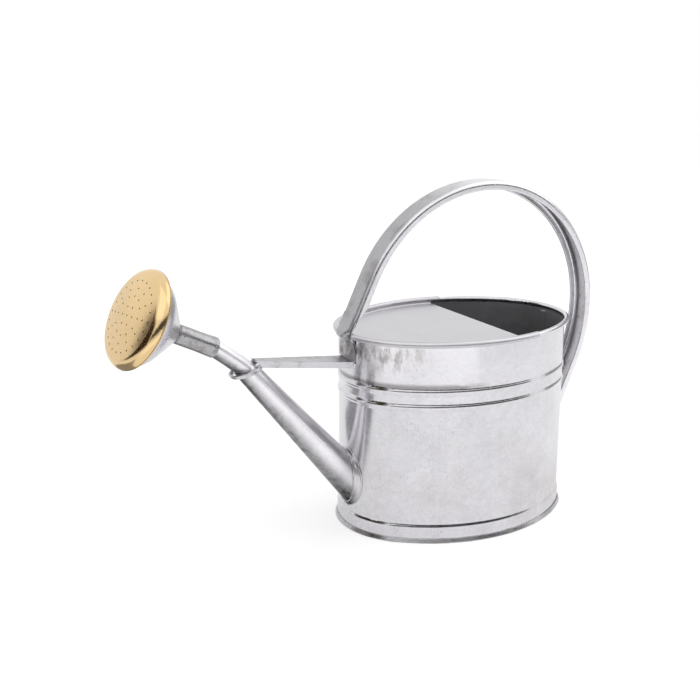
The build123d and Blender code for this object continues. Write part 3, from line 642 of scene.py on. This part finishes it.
over_rivets = [(side, 0.1650, 0.0013, 0.0055) for side in (-0.009, 0.009)]
bulge = [(0.0, 0.1785, 0.0014, 0.0150), (-0.004, 0.1745, 0.0010, 0.0050), (0.006, 0.1840, 0.0008, 0.0060)]
long_crease = [(-0.0095 + 0.0024 * n, 0.1845 - 0.0018 * n, -0.0008, 0.0024) for n in range(7)]
short_crease = [(0.0085 - 0.0021 * n, 0.1705 + 0.0011 * n, -0.0007, 0.0022) for n in range(5)]
dents = [(-0.0100, 0.1760, -0.0012, 0.0036), (-0.0050, 0.1668, -0.0008, 0.0016)]
for blow in over_rivets + bulge + long_crease + short_crease + dents:
    strike(foot_skin, *blow)
thicken(foot_skin, 0.0004)
hand_over(foot_skin, handle.material, "can")

# %% [markdown]
# ## The edge of the rose
# The brass plate is spun over the cup and its edge is rolled into a thin bead. The bead is a
# ring here, drawn out a little along the rose, so that it catches a light of its own.

# %% Rolled edge
FACE_EDGE_RADIUS = 0.0409
FACE_EDGE_ALONG = 0.0724  # from the sleeve's mouth

face_edge = ring("face_edge", FACE_EDGE_RADIUS, 0.0016, (160, 16), (1, 1, 1.3))
across_tip = Vector((0, 1, 0)) - TIP_WAY * TIP_WAY.y
lay(face_edge, SLEEVE_MOUTH + TIP_WAY * FACE_EDGE_ALONG, across_tip, TIP_WAY)
hand_over(face_edge, edge_brass.material, "rose_head")

# %% [markdown]
# ## Floor
# Metal shows what stands round it, and most of the wall mirrors the floor. The paper glows a
# little, and a bit more where it is seen directly, so that it is white and still keeps the
# faint shadow beside the can.


# %% Floor
def paper(name, colour, glow):
    """Matt paper that glows, since the lamps are weak."""
    material = bpy.data.materials.new(name)
    material.use_nodes = True
    shader = material.node_tree.nodes["Principled BSDF"]
    shader.inputs["Base Color"].default_value = colour
    shader.inputs["Roughness"].default_value = 0.9
    shader.inputs["Specular IOR Level"].default_value = 0.0
    shader.inputs["Emission Color"].default_value = colour
    shader.inputs["Emission Strength"].default_value = glow
    return material


def rgb(red, green, blue):
    return (red, green, blue, 1.0)


WHITE = rgb(0.9, 0.9, 0.9)
FLOOR_GLOW = rgb(0.306, 0.306, 0.306)
FLOOR_GLOW_SEEN = rgb(0.441, 0.441, 0.441)

bpy.ops.object.select_all(action="DESELECT")
bpy.ops.mesh.primitive_plane_add(size=8)
floor = bpy.context.object
floor.name = "floor"
floor_paper = paper("floor_paper", WHITE, 1.0)
tree = floor_paper.node_tree
seen = Value(tree, add_node(tree, "ShaderNodeLightPath", {}, {}).outputs["Is Camera Ray"])
glow = seen.blend(FLOOR_GLOW, FLOOR_GLOW_SEEN)
tree.links.new(glow.socket, tree.nodes["Principled BSDF"].inputs["Emission Color"])
floor.data.materials.append(floor_paper)
print("floor laid")

# %% [markdown]
# ## Cards
# A studio stands cards round shiny metal. Sheets on the floor and a screen at the left whiten
# what faces them, a grey screen at the right gives the can an edge, and dark screens draw the
# lines on the beads and the crescent on the brass. Mixed in by Is Glossy Ray, a card is met
# by mirror images alone: it isn't seen, and it takes no light off the floor.


# %% Cards
def card(name, corners, colour, glow):
    """Flat card through its corners. Only the metal's mirror images show it."""
    bpy.ops.object.select_all(action="DESELECT")
    bpy.ops.mesh.primitive_plane_add(size=1)
    made = bpy.context.object
    made.name = name
    for vertex, corner in zip(made.data.vertices, corners):
        vertex.co = corner
    material = paper(name + "_paper", colour, glow)
    tree = material.node_tree
    mirrored = add_node(tree, "ShaderNodeLightPath", {}, {}).outputs["Is Glossy Ray"]
    clear = add_node(tree, "ShaderNodeBsdfTransparent", {}, {}).outputs[0]
    front = tree.nodes["Principled BSDF"].outputs[0]
    parts = {number: Value(tree, socket) for number, socket in enumerate((mirrored, clear, front))}
    mix = add_node(tree, "ShaderNodeMixShader", {}, parts)
    tree.links.new(mix.outputs[0], tree.nodes["Material Output"].inputs["Surface"])
    made.data.materials.append(material)


def on_floor(*corners):
    """Corners of a card that lies just above the floor, in the order of a plane's corners."""
    return [(x, y, 0.001) for x, y in corners]


def upright(start, end, low, high):
    """Corners of a card that stands on a line, in the same order."""
    return [(*start, low), (*end, low), (*start, high), (*end, high)]


GREY = rgb(0.36, 0.36, 0.37)
PALE_GREY = rgb(0.7, 0.7, 0.71)
BLACK = rgb(0.05, 0.05, 0.055)
DARK_BROWN = rgb(0.035, 0.018, 0.004)

card("near_sheet", on_floor((0.16, -0.98), (0.09, -0.56), (-0.95, -0.85), (-0.40, -0.42)), WHITE, 0.62)
card("side_sheet", on_floor((-0.95, -0.85), (-0.40, -0.42), (-0.90, -0.25), (-0.66, -0.10)), WHITE, 0.62)
card("left_sheet", on_floor((-0.22, 0.04), (-0.22, 0.30), (-0.64, -0.05), (-0.64, 0.30)), GREY, 0.10)
card("camera_screen", upright((-3.6, -1.9), (3.2, -1.9), 0.15, 1.0), BLACK, 0.0)
card("left_screen", upright((-0.27, 1.48), (-1.25, 0.9), 0.0, 0.5), PALE_GREY, 0.48)
card("dark_screen", upright((-1.35, 0.80), (-1.35, -0.55), 0.05, 0.9), DARK_BROWN, 0.0)
card("right_screen", upright((1.3, -0.3), (1.1, 1.0), 0.0, 0.6), GREY, 0.2)
print("cards set up")

# %% [markdown]
# ## Light
# The world is white wherever it is seen or mirrored, and lights the can a little less. Two
# large soft boxes add a gentle direction from the left and fill the right.

# %% Light
world = bpy.data.worlds.new("studio")
bpy.context.scene.world = world
world.use_nodes = True
tree = world.node_tree
background = tree.nodes["Background"]
background.inputs["Color"].default_value = rgb(1, 1, 1)
rays = add_node(tree, "ShaderNodeLightPath", {}, {}).outputs
seen = Value(tree, rays["Is Camera Ray"])
white = seen.maths("MAXIMUM", seen, Value(tree, rays["Is Glossy Ray"]))
white = white.maths("MAXIMUM", white, Value(tree, rays["Is Transmission Ray"]))
strength = 0.62 + 0.38 * white
tree.links.new(strength.socket, background.inputs["Strength"])

CAN_MIDDLE = Vector((0, 0, 0.1))


def softbox(name, place, size, power):
    """Large lamp that looks at the middle of the can."""
    bpy.ops.object.light_add(type="AREA", location=place)
    lamp = bpy.context.object
    lamp.name = name
    lamp.data.shape = "RECTANGLE"
    lamp.data.size, lamp.data.size_y = size
    lamp.data.energy = power
    lamp.rotation_euler = (Vector(place) - CAN_MIDDLE).to_track_quat("Z", "Y").to_euler()


softbox("key_light", (-0.9, -0.7, 1.9), (2.4, 1.9), 4.5)
softbox("fill_light", (1.2, -0.3, 1.5), (1.8, 1.8), 5)

bpy.context.scene.view_settings.view_transform = "Standard"
print("lamps and world ready")
